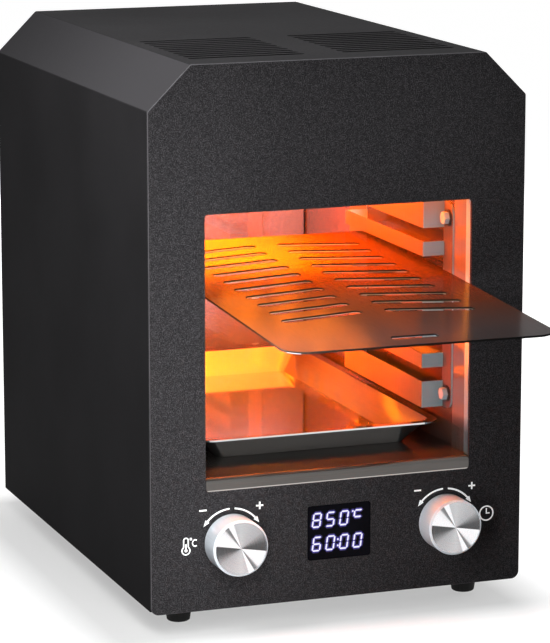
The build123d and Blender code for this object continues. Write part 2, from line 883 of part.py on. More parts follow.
with BuildPart() as temperature_probe:
    rod(probe_x, probe_height, probe_radius, (chamber_depth - probe_reach, back_face + probe_tail))
    with BuildSketch(facing(back_face)):
        with Locations((probe_x, probe_height)):
            RegularPolygon(probe_collar_radius, 6)
    extrude(amount=-probe_collar)
write(temperature_probe, "temperature_probe")

with BuildPart() as thermal_cutout:
    rod(cutout_x, cutout_level, cutout_radius, (back_face, back_face + cutout_height))
    slab(
        (cutout_x - cutout_tab_width / 2, cutout_x + cutout_tab_width / 2),
        (back_face + cutout_height, back_face + 2 * cutout_height),
        (cutout_level - cutout_tab, cutout_level),
    )
write(thermal_cutout, "thermal_cutout")

# Knobs, their shafts and the encoders behind the panel
bushing_tip = -bushing_length
shaft_end = panel_thickness + encoder_pocket - fit_gap
knob_back = -knob_gap
knob_front = knob_back - knob_length
shaft_tip = knob_back - knob_bore + fit_gap
knob_dish_radius = knob_radius - knob_edge - knob_land
flat_line = control_height + shaft_radius - shaft_flat
for name, x in knob_x.items():
    with BuildPart() as encoder:
        slab(
            (x - encoder_width / 2, x + encoder_width / 2),
            (panel_thickness, board_front),
            (control_height - encoder_height / 2, control_height + encoder_height / 2),
        )
        rod(x, control_height, bushing_radius, (bushing_tip, panel_thickness))
        rod(
            x,
            control_height,
            shaft_radius + running_gap,
            (bushing_tip, panel_thickness + encoder_pocket),
            mode=Mode.SUBTRACT,
        )
    write(encoder, f"{name}_encoder")

    with BuildPart() as shaft:
        rod(x, control_height, shaft_radius, (shaft_tip, shaft_end))
        slab(
            (x - shaft_radius, x + shaft_radius),
            (shaft_tip, bushing_tip - fit_gap),
            (flat_line, control_height + shaft_radius),
            mode=Mode.SUBTRACT,
        )
    write(shaft, f"{name}_shaft")

    with BuildPart() as knob:
        rod(x, control_height, knob_radius, (knob_front, knob_back))
        chamfer(knob.edges().filter_by(GeomType.CIRCLE).sort_by(Axis.Y)[0], knob_edge)
        rod(x, control_height, knob_dish_radius, (knob_front, knob_front + knob_dish), mode=Mode.SUBTRACT)
        rod(
            x,
            control_height,
            knob_hollow_radius,
            (knob_back - knob_hollow, knob_back),
            mode=Mode.SUBTRACT,
        )
        with BuildSketch(facing(knob_back - knob_bore)):
            with Locations((x, control_height)):
                Circle(shaft_radius + running_gap)
            with Locations((x, flat_line + running_gap)):
                Rectangle(
                    2 * knob_radius,
                    knob_radius,
                    align=(Align.CENTER, Align.MIN),
                    mode=Mode.SUBTRACT,
                )
        extrude(amount=knob_hollow - knob_bore, mode=Mode.SUBTRACT)
    write(knob, f"{name}_knob")

with BuildPart() as encoder_nuts:
    with BuildSketch(facing(0)):
        with Locations(*((x, control_height) for x in knob_x.values())):
            RegularPolygon(bushing_nut_radius, 6)
            Circle(bushing_radius + running_gap, mode=Mode.SUBTRACT)
    extrude(amount=bushing_nut)
write(encoder_nuts, "encoder_nuts")

# Display window, the number display behind it and the control board
with BuildPart() as display_window:
    with BuildSketch(facing(-window_proud)):
        with Locations((0, control_height)):
            RectangleRounded(window_width - 2 * fit_gap, window_height - 2 * fit_gap, window_corner)
    extrude(amount=-window_proud - panel_thickness)
    with BuildSketch(facing(panel_thickness)):
        with Locations((0, control_height)):
            Rectangle(window_width + 2 * window_flange, window_height + 2 * window_flange)
    extrude(amount=-window_back)
write(display_window, "display_window")

display_half = window_width / 2 - display_inset
display_rise = window_height / 2 - display_inset
with BuildPart() as display_module:
    slab(
        (-display_half, display_half),
        (panel_thickness + window_back, board_front),
        (control_height - display_rise, control_height + display_rise),
    )
write(display_module, "display_module")

standoff_spots = [
    (x, control_height + rise) for x in (-standoff_x, standoff_x) for rise in (-standoff_z, standoff_z)
]
with BuildPart() as control_board:
    with BuildSketch(facing(board_front)):
        with Locations((0, control_height)):
            Rectangle(board_width, board_height)
        with Locations(*standoff_spots):
            Circle(screw_radius, mode=Mode.SUBTRACT)
    extrude(amount=-board_sheet)
write(control_board, "control_board")

tapped_radius = screw_radius - screw_gap
with BuildPart() as board_standoffs:
    with BuildSketch(facing(panel_thickness)):
        with Locations(*standoff_spots):
            Circle(standoff_radius)
            Circle(tapped_radius + running_gap, mode=Mode.SUBTRACT)
    extrude(amount=-encoder_depth)
write(board_standoffs, "board_standoffs")

with BuildPart() as board_screws:
    for x, height in standoff_spots:
        rod(x, height, standoff_radius, (board_back, board_back + screw_head_height))
        rod(x, height, tapped_radius, (panel_thickness + fit_gap, board_back))
write(board_screws, "board_screws")

# Power board on its spacers, with relay and transformer
power_half = power_board_width / 2
power_ends = (power_board_front, power_board_front + power_board_depth)
with BuildPart() as power_board:
    slab((-power_half, power_half), power_ends, (power_board_low, power_board_top))
write(power_board, "power_board")

with BuildPart() as board_spacers:
    for x in (spacer_inset - power_half, power_half - spacer_inset):
        for depth in (power_ends[0] + spacer_inset, power_ends[1] - spacer_inset):
            post(x, depth, spacer_radius, (base_top, power_board_low))
write(board_spacers, "board_spacers")

for name, size, place in (
    ("power_relay", relay_size, relay_place),
    ("transformer", transformer_size, transformer_place),
):
    with BuildPart() as block:
        left = place[0] - size[0] / 2
        front = power_board_front + place[1]
        slab(
            (left, left + size[0]),
            (front, front + size[1]),
            (power_board_top, power_board_top + size[2]),
        )
        fillet(block.edges().filter_by(Axis.Z), block_round)
    write(block, name)

# Flat ribbon from the control board down and back to the power board
with BuildPart() as control_ribbon:
    ribbon = (-ribbon_width / 2, ribbon_width / 2)
    slab(ribbon, (board_back, ribbon_drop_depth), (ribbon_height, ribbon_height + ribbon_thickness))
    slab(
        ribbon,
        (ribbon_drop_depth - ribbon_thickness, ribbon_drop_depth),
        (power_board_low, ribbon_height + ribbon_thickness),
    )
    slab(
        ribbon,
        (ribbon_drop_depth - ribbon_thickness, power_board_front),
        (power_board_low, power_board_low + ribbon_thickness),
    )
write(control_ribbon, "control_ribbon")

# Terminal block and the leads that end on it
terminal_ends = (terminal_middle - terminal_depth / 2, terminal_middle + terminal_depth / 2)
with BuildPart() as terminal_block:
    slab((-terminal_width / 2, terminal_width / 2), terminal_ends, (base_top, terminal_top))
write(terminal_block, "terminal_block")

terminal_y = front_face + terminal_middle
with BuildPart() as heater_leads:
    for sign in (-1, 1):
        start = (sign * terminal_pitch / 2, terminal_y, terminal_top)
        pin_x = sign * heater_x[-1]
        with BuildLine():
            FilletPolyline(
                start,
                (start[0], terminal_y, terminal_top + lead_rise),
                (pin_x, terminal_y, terminal_top + 2 * lead_rise),
                (pin_x, terminal_y, heater_height - heater_pin_radius),
                radius=lead_bend,
            )
        with BuildSketch(Plane(origin=start)):
            Circle(lead_radius)
        sweep()
write(heater_leads, "heater_leads")

with BuildPart() as mains_leads:
    for sign, x, height, inner_end in (
        (-1, gland_x, gland_height, gland_inner_end),
        (1, switch_x, switch_height, switch_inner_end),
    ):
        start = (x, front_face + inner_end, height)
        landing = sign * 3 * terminal_pitch / 2
        with BuildLine():
            FilletPolyline(
                start,
                (x, terminal_y - terminal_depth, height),
                (landing, terminal_y - terminal_depth, height),
                (landing, terminal_y, height),
                (landing, terminal_y, terminal_top),
                radius=lead_bend,
            )
        with BuildSketch(Plane(origin=start, z_dir=(0, -1, 0))):
            Circle(lead_radius)
        sweep()
write(mains_leads, "mains_leads")

# Rear power switch
cavity_width = switch_body_width - 2 * switch_wall
rocker_half_width = cavity_width / 2 - rocker_side_gap
rocker_half_length = switch_body_height / 2 - switch_wall - rocker_end_room
with BuildPart() as power_switch_housing:
    body_half = switch_body_width / 2
    body_rise = switch_body_height / 2
    slab(
        (switch_x - body_half, switch_x + body_half),
        (switch_inner_end, casing_depth),
        (switch_height - body_rise, switch_height + body_rise),
    )
    slab(
        (switch_x - body_half - switch_bezel_lip, switch_x + body_half + switch_bezel_lip),
        (casing_depth, bezel_face),
        (switch_height - body_rise - switch_bezel_lip, switch_height + body_rise + switch_bezel_lip),
    )
    chamfer(power_switch_housing.faces().sort_by(Axis.Y)[-1].edges(), switch_bezel_lip / 2)
    slab(
        (switch_x - cavity_width / 2, switch_x + cavity_width / 2),
        (switch_inner_end + switch_floor, bezel_face),
        (switch_height - body_rise + switch_wall, switch_height + body_rise - switch_wall),
        mode=Mode.SUBTRACT,
    )
    pin_reach = rocker_half_width + rocker_pin_length + fit_gap
    crossbar(
        rocker_pivot,
        switch_height,
        rocker_pin_radius + running_gap,
        (switch_x - pin_reach, switch_x + pin_reach),
        mode=Mode.SUBTRACT,
    )
write(power_switch_housing, "power_switch_housing")

rocker_plane = Plane(
    origin=(switch_x, front_face + rocker_pivot, switch_height),
    x_dir=(0, math.cos(math.radians(rocker_tilt)), math.sin(math.radians(rocker_tilt))),
    z_dir=(1, 0, 0),
)
with BuildPart() as power_switch_rocker:
    with BuildSketch(rocker_plane):
        Polygon(
            (-rocker_root, -rocker_half_length),
            (rocker_end, -rocker_half_length),
            (rocker_dip, 0),
            (rocker_end, rocker_half_length),
            (-rocker_root, rocker_half_length),
        )
    extrude(amount=rocker_half_width, both=True)
    pin_end = rocker_half_width + rocker_pin_length
    crossbar(rocker_pivot, switch_height, rocker_pin_radius, (switch_x - pin_end, switch_x + pin_end))
write(power_switch_rocker, "power_switch_rocker")

# Cord gland, clamped through the rear panel by its own nut
with BuildPart() as cord_gland:
    rod(gland_x, gland_height, gland_radius, (gland_inner_end, casing_depth))
    rod(gland_x, gland_height, gland_head_radius, (casing_depth, casing_depth + gland_head))
    chamfer(cord_gland.edges().filter_by(GeomType.CIRCLE).sort_by(Axis.Y)[-1], gland_edge)
    rod(
        gland_x,
        gland_height,
        gland_bore_radius,
        (gland_inner_end, casing_depth + gland_head),
        mode=Mode.SUBTRACT,
    )
write(cord_gland, "cord_gland")

with BuildPart() as gland_nut_ring:
    with BuildSketch(facing(wrap_end)):
        with Locations((gland_x, gland_height)):
            RegularPolygon(gland_nut_radius, 6)
            Circle(gland_radius + running_gap, mode=Mode.SUBTRACT)
    extrude(amount=gland_nut)
write(gland_nut_ring, "gland_nut")
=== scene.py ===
import math

import bmesh
import bpy
from mathutils import Matrix, Vector


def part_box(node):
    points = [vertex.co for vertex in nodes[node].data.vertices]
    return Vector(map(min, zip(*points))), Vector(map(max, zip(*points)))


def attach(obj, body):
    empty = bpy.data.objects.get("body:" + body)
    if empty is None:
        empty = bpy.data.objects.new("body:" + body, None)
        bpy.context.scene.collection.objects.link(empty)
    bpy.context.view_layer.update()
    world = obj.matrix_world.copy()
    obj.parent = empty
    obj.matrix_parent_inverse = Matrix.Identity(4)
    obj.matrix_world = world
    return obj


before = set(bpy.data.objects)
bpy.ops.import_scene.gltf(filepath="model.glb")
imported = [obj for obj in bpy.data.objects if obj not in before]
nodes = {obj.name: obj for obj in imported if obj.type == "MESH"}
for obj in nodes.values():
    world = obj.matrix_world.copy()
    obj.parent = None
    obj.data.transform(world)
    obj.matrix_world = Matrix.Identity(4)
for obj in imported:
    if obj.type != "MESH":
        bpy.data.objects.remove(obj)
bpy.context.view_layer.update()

MM = 0.001
ORIGIN = (0.0, 0.0, 0.0)
WHITE = (1.0, 1.0, 1.0)
BLACK = (0.0, 0.0, 0.0)

# Brush lines and fibres: grains per metre along x, y and z
ALONG_X = (30.0, 2600.0, 2600.0)
ALONG_Y = (2600.0, 30.0, 2600.0)
ALONG_Z = (2600.0, 2600.0, 30.0)
FIBRES = (160.0, 900.0, 420.0)

# Places on the solids where the colour changes, most of them bounds of painted light and shade
PANEL_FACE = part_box("outer_casing")[0].y - 2.0 * MM
HEM_END = PANEL_FACE + 8.3 * MM
SHARP = 0.1 * MM
CORNER_LINE = 84.9 * MM
RACK_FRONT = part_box("rack_right")[0].y
RACK_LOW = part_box("rack_right")[0].z
WALL_SHADE = RACK_LOW - 9.0 * MM
SILL_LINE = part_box("chamber_floor")[0].z + 0.6 * MM
COLD_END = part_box("chamber_back_wall")[0].y - 12.0 * MM
PLATE_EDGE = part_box("grill_plate")[0].y + 3.5 * MM
PLATE_SLOPE = 0.03754
PLATE_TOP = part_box("grill_plate")[1].z - PLATE_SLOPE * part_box("grill_plate")[1].y
SLOT_SHADE = PLATE_TOP - 0.9 * MM
PAINTED_GLOW_START = PLATE_EDGE + 20.0 * MM
PAINTED_GLOW_FULL = PLATE_EDGE + 90.0 * MM
REFLECTION_SECTOR_START = 1.052

# Prints on the front panel
INK_FILM = 0.01 * MM
ARC_STEPS = 120
ARROW_RADIUS = 20.3 * MM
ARROW_LINE = 1.05 * MM
ARROW_HEAD = 1.75 * MM
ARROW_STRETCH = 1.5
ARROW_ENDS = ((93.6, 141.6), (85.0, 37.5))
SIGN_HEIGHT = 74.1 * MM
SIGN_SIZE = 4.6 * MM
SIGN_LINE = 1.0 * MM
MINUS_ASIDE = -17.9 * MM
PLUS_ASIDE = 18.1 * MM
THIN_LINE = 0.8 * MM
BULB_PLACE = (-98.0 * MM, 50.4 * MM)
BULB_RADIUS = 2.5 * MM
BULB_ENDS = (125.0, 415.0)
STEM_ASIDE = 1.45 * MM
STEM_LENGTH = 4.2 * MM
STEM_UP = 4.15 * MM
STEM_TOP = 6.25 * MM
COLUMN_RADIUS = 1.0 * MM
COLUMN_LENGTH = 3.1 * MM
COLUMN_UP = 2.5 * MM
LETTER_PLACE = (-92.2 * MM, 54.7 * MM)
LETTER_RADIUS = 1.65 * MM
LETTER_LINE = 0.7 * MM
LETTER_ENDS = (50.0, 310.0)
LETTER_STRETCH = 1.2
DEGREE_PLACE = (-94.9 * MM, 57.3 * MM)
DEGREE_RADIUS = 0.6 * MM
DEGREE_LINE = 0.45 * MM
CLOCK_PLACE = (97.4 * MM, 55.7 * MM)
CLOCK_RADIUS = 4.45 * MM
CLOCK_LINE = 0.9 * MM
HAND_UP = 2.8 * MM
HAND_ACROSS = 1.9 * MM

# Lit numbers: bars a to g of each digit, and layers of (name, colour, extra width, lift); the haze and halo
# layers are painted glow round the bars
WINDOW_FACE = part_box("display_window")[0].y
DIGIT_WIDTH = 4.7 * MM
DIGIT_HEIGHT = 8.3 * MM
DIGIT_STROKE = 1.05 * MM
DIGIT_BREAK = 0.25 * MM
DIGIT_SLANT = 8.0
DOT_EXTRA = 0.15 * MM
DOT_CORNERS = 16
DIGIT_COLUMNS = (-14.6 * MM, -5.8 * MM, 3.05 * MM, 11.9 * MM)
DISPLAY_ROWS = (
    (61.5 * MM, ("abcdefg", "acdfg", "abcdef", "afg")),
    (46.7 * MM, ("acdefg", "abcdef", "abcdef", "abcdef")),
)
DISPLAY_DOTS = ((8.75 * MM, 65.2 * MM), (-0.93 * MM, 48.5 * MM), (-0.93 * MM, 44.6 * MM))
DISPLAY_LAYERS = (
    ("haze", (0.006, 0.002, 0.08), 2.0 * MM, 0.01 * MM),
    ("halo", (0.03, 0.012, 0.42), 0.8 * MM, 0.02 * MM),
    ("numbers", (0.90, 0.88, 1.0), 0.0, 0.03 * MM),
)

# Marks at the rear
SCREW_HEAD = 3.6 * MM
SCREW_LEVELS = (60.0 * MM, 164.25 * MM, 291.5 * MM)
SCREW_TURN = 15.0
SCREW_TURN_STEP = 40.0
CROSS_SIZE = 3.8 * MM
CROSS_LINE = 0.9 * MM
ROCKER_PIVOT = Vector((78.0, 225.55, 48.0)) * MM
ROCKER_TILT = 10.0
ROCKER_SLOPE = 12.1
MARK_OUT = 4.75 * MM
MARK_UP = 3.6 * MM
ON_WIDTH = 0.7 * MM
ON_HEIGHT = 3.6 * MM
OFF_RADIUS = 1.6 * MM
OFF_LINE = 0.6 * MM

# Camera and stage
CAMERA_PLACE = (-0.6901, -1.84495, 0.5618)
CAMERA_LENS = 179.74
CAMERA_SENSOR = 36.0
CAMERA_DOWN = 11.38
CAMERA_TURN = -20.32
CAMERA_REACH = 50.0
SURROUND_LIGHT = 0.055
FLOOR_SIZE = 30.0
FLOOR_DROP = 0.4 * MM
# Painted shadow on the floor round a box about the casing, a little to its left
FOOTPRINT_SHIFT = (0.015, -0.07, 0.0)
FOOTPRINT_HALF = (0.12, 0.165, 0.0)
SHADE_START = 6.0 * MM
SHADE_END = 50.0 * MM
FLOOR_SHADED = 0.47
FLOOR_OPEN = 0.98


class Wire:
    """One socket of a material's nodes. Operators on wires add Math nodes."""

    def __init__(self, tree, socket=None):
        self.tree = tree
        self.socket = socket

    def node(self, kind, settings=None, sockets=None, out=0):
        """Adds any node: its settings first, then the values or links of its sockets."""
        made = self.tree.nodes.new("ShaderNode" + kind)
        for name, value in (settings or {}).items():
            if name == "stops":
                stops = made.color_ramp.elements
                while len(stops) < len(value):
                    stops.new(0.5)
                for stop, (place, colour) in zip(stops, value):
                    stop.position = place
                    stop.color = opaque(colour)
            else:
                setattr(made, name, value)
        for name, value in (sockets or {}).items():
            self.feed(made.inputs[name], value)
        return Wire(self.tree, made.outputs[out])

    def outputs(self, *names):
        """Wires from other outputs of this wire's node."""
        return [Wire(self.tree, self.socket.node.outputs[name]) for name in names]

    def feed(self, target, value):
        """Links a wire to a socket, or sets the socket's own value."""
        if isinstance(value, Wire):
            self.tree.links.new(value.socket, target)
        else:
            target.default_value = value

    def maths(self, operation, *values):
        """Adds a Math node."""
        return self.node("Math", {"operation": operation}, dict(enumerate(values)))

    def __add__(self, other):
        return self.maths("ADD", self, other)

    def __sub__(self, other):
        return self.maths("SUBTRACT", self, other)

    def __rsub__(self, other):
        return self.maths("SUBTRACT", other, self)

    def __mul__(self, other):
        return self.maths("MULTIPLY", self, other)

    def __truediv__(self, other):
        return self.maths("DIVIDE", self, other)

    __radd__ = __add__
    __rmul__ = __mul__


def opaque(colour):
    """A colour with its alpha. A wire stays as it is."""
    return colour if isinstance(colour, Wire) else (*colour, 1.0)


def grey(level, warm=0.0):
    """Grey of a level, warmer by a share, or cooler by a negative one."""
    return (level * (1 + warm), level, level * (1 - warm))


def paint(level):
    """Dark grey paint with a slight cool cast."""
    return (level, level * 0.965, level * 1.03)


def finish_named(name, **constants):
    """A new material: its first wire and its Principled shader's sockets, with constants set on them."""
    material = bpy.data.materials.new(name)
    material.use_nodes = True
    surface = material.node_tree.nodes["Principled BSDF"].inputs
    for word, value in constants.items():
        surface[word.replace("_", " ")].default_value = value
    return material, Wire(material.node_tree), surface


def speckle(wire, scale, detail=2.0, stretch=None):
    """Noise in the object's own coordinates, in grains per metre, drawn out along an axis by stretch."""
    place = wire.node("TexCoord", out="Object")
    if stretch:
        place = wire.node("Mapping", sockets={"Vector": place, "Scale": stretch})
    return wire.node("TexNoise", sockets={"Vector": place, "Scale": scale, "Detail": detail})


def ramp(wire, value, *stops):
    """Colour by value, between stops of (place, colour)."""
    return wire.node("ValToRGB", {"stops": stops}, {"Fac": value})


def between(wire, value, low, high):
    """A value of 0 to 1 spread from low to high."""
    return wire.node("MapRange", sockets={"Value": value, "To Min": low, "To Max": high})


def rising(wire, value, first, last):
    """0 up to the first value, rising to 1 at the last."""
    return wire.node("MapRange", sockets={"Value": value, "From Min": first, "From Max": last})


def relief(wire, height, depth, strength):
    """A bumped normal, with the height's range given in metres."""
    return wire.node("Bump", sockets={"Height": height, "Distance": depth, "Strength": strength})


def blend(wire, amount, first, second, way="MIX"):
    """The second colour over the first, by an amount of 0 to 1."""
    colours = {0: amount, 6: opaque(first), 7: opaque(second)}
    return wire.node("Mix", {"data_type": "RGBA", "blend_type": way}, colours, out=2)


def axis_of(wire, coordinate, axis):
    """One axis of the object's own place, or of the direction that its face looks."""
    return wire.node("SeparateXYZ", sockets={0: wire.node("TexCoord", out=coordinate)}, out=axis)


def forward(wire, coordinate, limit):
    """1 for all that lies, or faces, further to the front than the limit."""
    return wire.maths("LESS_THAN", axis_of(wire, coordinate, "Y"), limit)


def outward(wire, limit):
    """1 for all that lies further from the middle plane than the limit, to either side."""
    return wire.maths("GREATER_THAN", wire.maths("ABSOLUTE", axis_of(wire, "Object", "X")), limit)


def fade(wire, axis, first, last):
    """0 as far as the first place along an axis, rising to 1 at the last."""
    return rising(wire, axis_of(wire, "Object", axis), first, last)


def sloping(wire, low, high):
    """1 for faces that look upward at a slope, by the height of their normal."""
    return wire.maths("COMPARE", axis_of(wire, "Normal", "Z"), (low + high) / 2, (high - low) / 2)


def sideways(wire, first, last):
    """0 for faces that look to the front, rear or up, rising to 1 as they turn to the left or right."""
    return rising(wire, wire.maths("ABSOLUTE", axis_of(wire, "Normal", "X")), first, last)


def below(wire, slope, level):
    """1 for all that lies lower than a plane that rises to the rear by the slope."""
    across_plane = {0: wire.node("TexCoord", out="Object"), 1: (0.0, -slope, 1.0)}
    lift = wire.node("VectorMath", {"operation": "DOT_PRODUCT"}, across_plane, out="Value")
    return wire.maths("LESS_THAN", lift, level)


def both(wire, first, second):
    """1 where two places, each of (function, values), meet."""
    return first[0](wire, *first[1]) * second[0](wire, *second[1])


def smooth_coat():
    """Even dark powder coat with a faint orange peel, on the casing, with a painted highlight on its sloping
    corners.
    """
    material, wire, surface = finish_named("smooth_coat", Specular_IOR_Level=0.004)
    peel = speckle(wire, 520.0, 3.0)
    cloud = speckle(wire, 14.0)
    coat = ramp(wire, cloud, (0.3, paint(0.016)), (0.7, paint(0.021)))
    # Painted highlight: faces that slope upward, the chamfers, are painted paler as if lit from above.
    wire.feed(surface["Base Color"], blend(wire, sloping(wire, 0.5, 0.9), coat, paint(0.042)))
    wire.feed(surface["Roughness"], between(wire, peel, 0.48, 0.62))
    wire.feed(surface["Normal"], relief(wire, peel, 0.06 * MM, 0.5))
    return material


def grain_coat():
    """Dark powder coat with light and dark grains, on the front panel, with a painted highlight along its
    rounded edges.
    """
    material, wire, surface = finish_named("grain_coat", Specular_IOR_Level=0.02)
    grain = speckle(wire, 1500.0, 3.0)
    blotch = speckle(wire, 420.0, 2.0)
    mixed = grain * 0.8 + blotch * 0.2
    coat = ramp(wire, mixed, (0.36, paint(0.013)), (0.52, paint(0.034)), (0.68, paint(0.085)))
    # Painted highlight: rounded edges, whose normals turn away from the front, are painted paler.
    turned = wire.maths("ABSOLUTE", axis_of(wire, "Normal", "Y") + 0.5)
    rounded = wire.maths("LESS_THAN", turned, 0.4)
    wire.feed(surface["Base Color"], blend(wire, rounded, coat, paint(0.10)))
    wire.feed(surface["Roughness"], between(wire, grain, 0.48, 0.70))
    wire.feed(surface["Normal"], relief(wire, mixed, 0.14 * MM, 0.4))
    return material


def brushed_steel(
    name, level, rough, brush, lines=0.35, metal=0.75, gloss=0.5, warm=0.0, edges=(), painted_light_and_shade=(), matt=None
):
    """Stainless sheet with brush lines along one direction. Edges of (place, values, colour) take that colour
    where the place's function gives 1; most of them are painted highlights and painted shade. Painted light
    and shade of the same form multiply the colour there. A matt of (place, values, metal) is less of a
    mirror."""
    material, wire, surface = finish_named(name, Metallic=metal, Specular_IOR_Level=gloss)
    strokes = speckle(wire, 1.0, 3.0, brush)
    cloud = speckle(wire, 22.0)
    tone = strokes * 0.6 + cloud * 0.4
    colour = ramp(wire, tone, (0.30, grey(level * 0.88, warm)), (0.70, grey(level * 1.08, warm)))
    # Edges mix in a colour and the second list multiplies it: painted highlights, painted shade and painted
    # glow.
    for way, marks in (("MIX", edges), ("MULTIPLY", painted_light_and_shade)):
        for place, values, tint in marks:
            colour = blend(wire, place(wire, *values), colour, tint, way)
    if matt:
        place, values, dull = matt
        wire.feed(surface["Metallic"], between(wire, place(wire, *values), metal, dull))
    wire.feed(surface["Base Color"], colour)
    wire.feed(surface["Roughness"], between(wire, tone, rough * 0.75, rough * 1.25))
    wire.feed(surface["Normal"], relief(wire, strokes, 0.03 * MM, lines))
    return material


def rubber():
    """Dull black rubber with a fine grain."""
    material, wire, surface = finish_named("rubber", Specular_IOR_Level=0.3)
    grain = speckle(wire, 1500.0, 3.0)
    wire.feed(surface["Base Color"], ramp(wire, grain, (0.35, grey(0.006)), (0.7, grey(0.014))))
    wire.feed(surface["Roughness"], between(wire, grain, 0.6, 0.85))
    wire.feed(surface["Normal"], relief(wire, grain, 0.08 * MM, 0.5))
    return material


def plain_finish(name, low, high, rough, scale, metal=0.0, glow=0.0):
    """Moulded, plated or painted finish: two near tones, uneven gloss and a fine relief. A glow gives it
    painted light of its own.
    """
    material, wire, surface = finish_named(name, Metallic=metal, Emission_Strength=glow)
    surface["Emission Color"].default_value = opaque(WHITE)
    grain = speckle(wire, scale, 4.0)
    wire.feed(surface["Base Color"], ramp(wire, grain, (0.32, low), (0.68, high)))
    wire.feed(surface["Roughness"], between(wire, grain, rough - 0.08, rough + 0.08))
    wire.feed(surface["Normal"], relief(wire, grain, 0.04 * MM, 0.4))
    return material


def spun_aluminium(name, axis_x, axis_z):
    """Turned aluminium: painted reflection in bright and dark sectors of the spun face, and fine rings about
    the knob's axis.
    """
    material, wire, surface = finish_named(name)
    place = wire.node("TexCoord", out="Object")
    centred = wire.node("Mapping", sockets={"Vector": place, "Location": (-axis_x, 0.0, -axis_z)})
    x, z = wire.node("SeparateXYZ", sockets={0: centred}).outputs("X", "Z")
    turn = wire.maths("FRACT", wire.maths("ARCTAN2", z, x) / math.pi + REFLECTION_SECTOR_START)
    flat = wire.node("VectorMath", {"operation": "MULTIPLY"}, {0: centred, 1: (1.0, 0.0, 1.0)})
    radius = wire.node("VectorMath", {"operation": "LENGTH"}, {0: flat}, out="Value")
    ring = wire.node("TexNoise", {"noise_dimensions": "1D"}, {"W": radius, "Scale": 5000.0, "Detail": 2.0})
    # Painted reflection: bright and dark sectors by angle about the knob's axis, as the spun face would
    # mirror them.
    sectors = ramp(
        wire, turn,
        (0.000, grey(0.09)), (0.105, grey(0.11)), (0.165, grey(0.22)),
        (0.250, grey(0.44)), (0.400, grey(0.52)), (0.560, grey(0.60)),
        (0.640, grey(0.56)), (0.655, grey(0.96)), (0.716, grey(0.98)),
        (0.728, grey(0.18)), (0.762, grey(0.28)), (0.790, grey(0.86)),
        (0.850, grey(0.96)), (0.992, grey(0.98)), (1.000, grey(0.12)),
    )
    lines = ramp(wire, ring, (0.3, grey(0.85, -0.03)), (0.7, grey(0.97, -0.03)))
    tone = blend(wire, 1.0, sectors, lines, "MULTIPLY")
    front = wire.node("SeparateXYZ", sockets={0: wire.node("NewGeometry", out="Normal")}, out="Y")
    on_face = wire.maths("LESS_THAN", front, -0.9)
    rim = ramp(wire, speckle(wire, 1.0, 3.0, ALONG_Y), (0.3, grey(0.80, -0.08)), (0.7, grey(0.92, -0.08)))
    wire.feed(surface["Base Color"], blend(wire, on_face, rim, tone))
    wire.feed(surface["Metallic"], between(wire, on_face, 0.15, 0.95))
    wire.feed(surface["Roughness"], between(wire, ring, 0.20, 0.32))
    wire.feed(surface["Normal"], relief(wire, ring, 0.02 * MM, 0.4))
    return material


def glowing_tube():
    """Oxidised heater sheath, glowing orange in patches inside the chamber, with cold ends behind it."""
    material, wire, surface = finish_named("glowing_tube", Roughness=0.7, Emission_Strength=34.0)
    patch = speckle(wire, 60.0, 3.0)
    sheath = ramp(wire, patch, (0.3, (0.10, 0.05, 0.03)), (0.7, (0.18, 0.09, 0.05)))
    glow = ramp(wire, patch, (0.25, (0.85, 0.13, 0.0)), (0.75, (1.0, 0.20, 0.0)))
    wire.feed(surface["Base Color"], sheath)
    wire.feed(surface["Emission Color"], blend(wire, forward(wire, "Object", COLD_END), BLACK, glow))
    return material


def lit_ink(name, colour):
    """Light that shows through the display, a little uneven, and the painted glow round it."""
    material, wire, surface = finish_named(name, Roughness=0.5, Emission_Strength=1.0)
    surface["Base Color"].default_value = opaque(BLACK)
    dim = tuple(part * 0.9 for part in colour)
    wire.feed(surface["Emission Color"], ramp(wire, speckle(wire, 700.0), (0.3, dim), (0.7, colour)))
    return material


def smoked_window():
    """Nearly black window with a faint gloss."""
    material, wire, surface = finish_named("smoked_window", Specular_IOR_Level=0.03)
    cloud = speckle(wire, 60.0)
    smoke = ramp(wire, cloud, (0.3, (0.0015, 0.0015, 0.003)), (0.7, (0.003, 0.003, 0.006)))
    wire.feed(surface["Base Color"], smoke)
    wire.feed(surface["Roughness"], between(wire, cloud, 0.10, 0.16))
    return material


def circuit_board():
    """Green board with paler tracks."""
    material, wire, surface = finish_named("circuit_board", Roughness=0.4)
    pattern = {
        "Vector": wire.node("TexCoord", out="Object"), "Scale": 210.0, "Mortar Size": 0.06,
        "Color1": opaque(BLACK), "Color2": opaque(BLACK), "Mortar": opaque(WHITE),
    }
    tracks = wire.node("TexBrick", {"offset": 0.37}, pattern, out="Fac")
    lacquer = ramp(wire, tracks, (0.2, (0.010, 0.075, 0.030)), (0.8, (0.03, 0.16, 0.06)))
    wire.feed(surface["Base Color"], lacquer)
    return material


def blanket():
    """Pale mineral fibre."""
    material, wire, surface = finish_named("blanket", Roughness=0.95)
    fibre = speckle(wire, 1.0, 5.0, FIBRES)
    wool = ramp(wire, fibre, (0.3, (0.36, 0.34, 0.30)), (0.7, (0.56, 0.54, 0.49)))
    wire.feed(surface["Base Color"], wool)
    wire.feed(surface["Normal"], relief(wire, fibre, 0.6 * MM, 0.8))
    return material


def middle_of(name):
    """Middle of a CAD node's box."""
    low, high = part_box(name)
    return (low + high) / 2


def dress(material, *names):
    """Gives CAD nodes their material."""
    for name in names:
        slots = nodes[name].data.materials
        slots.clear()
        slots.append(material)


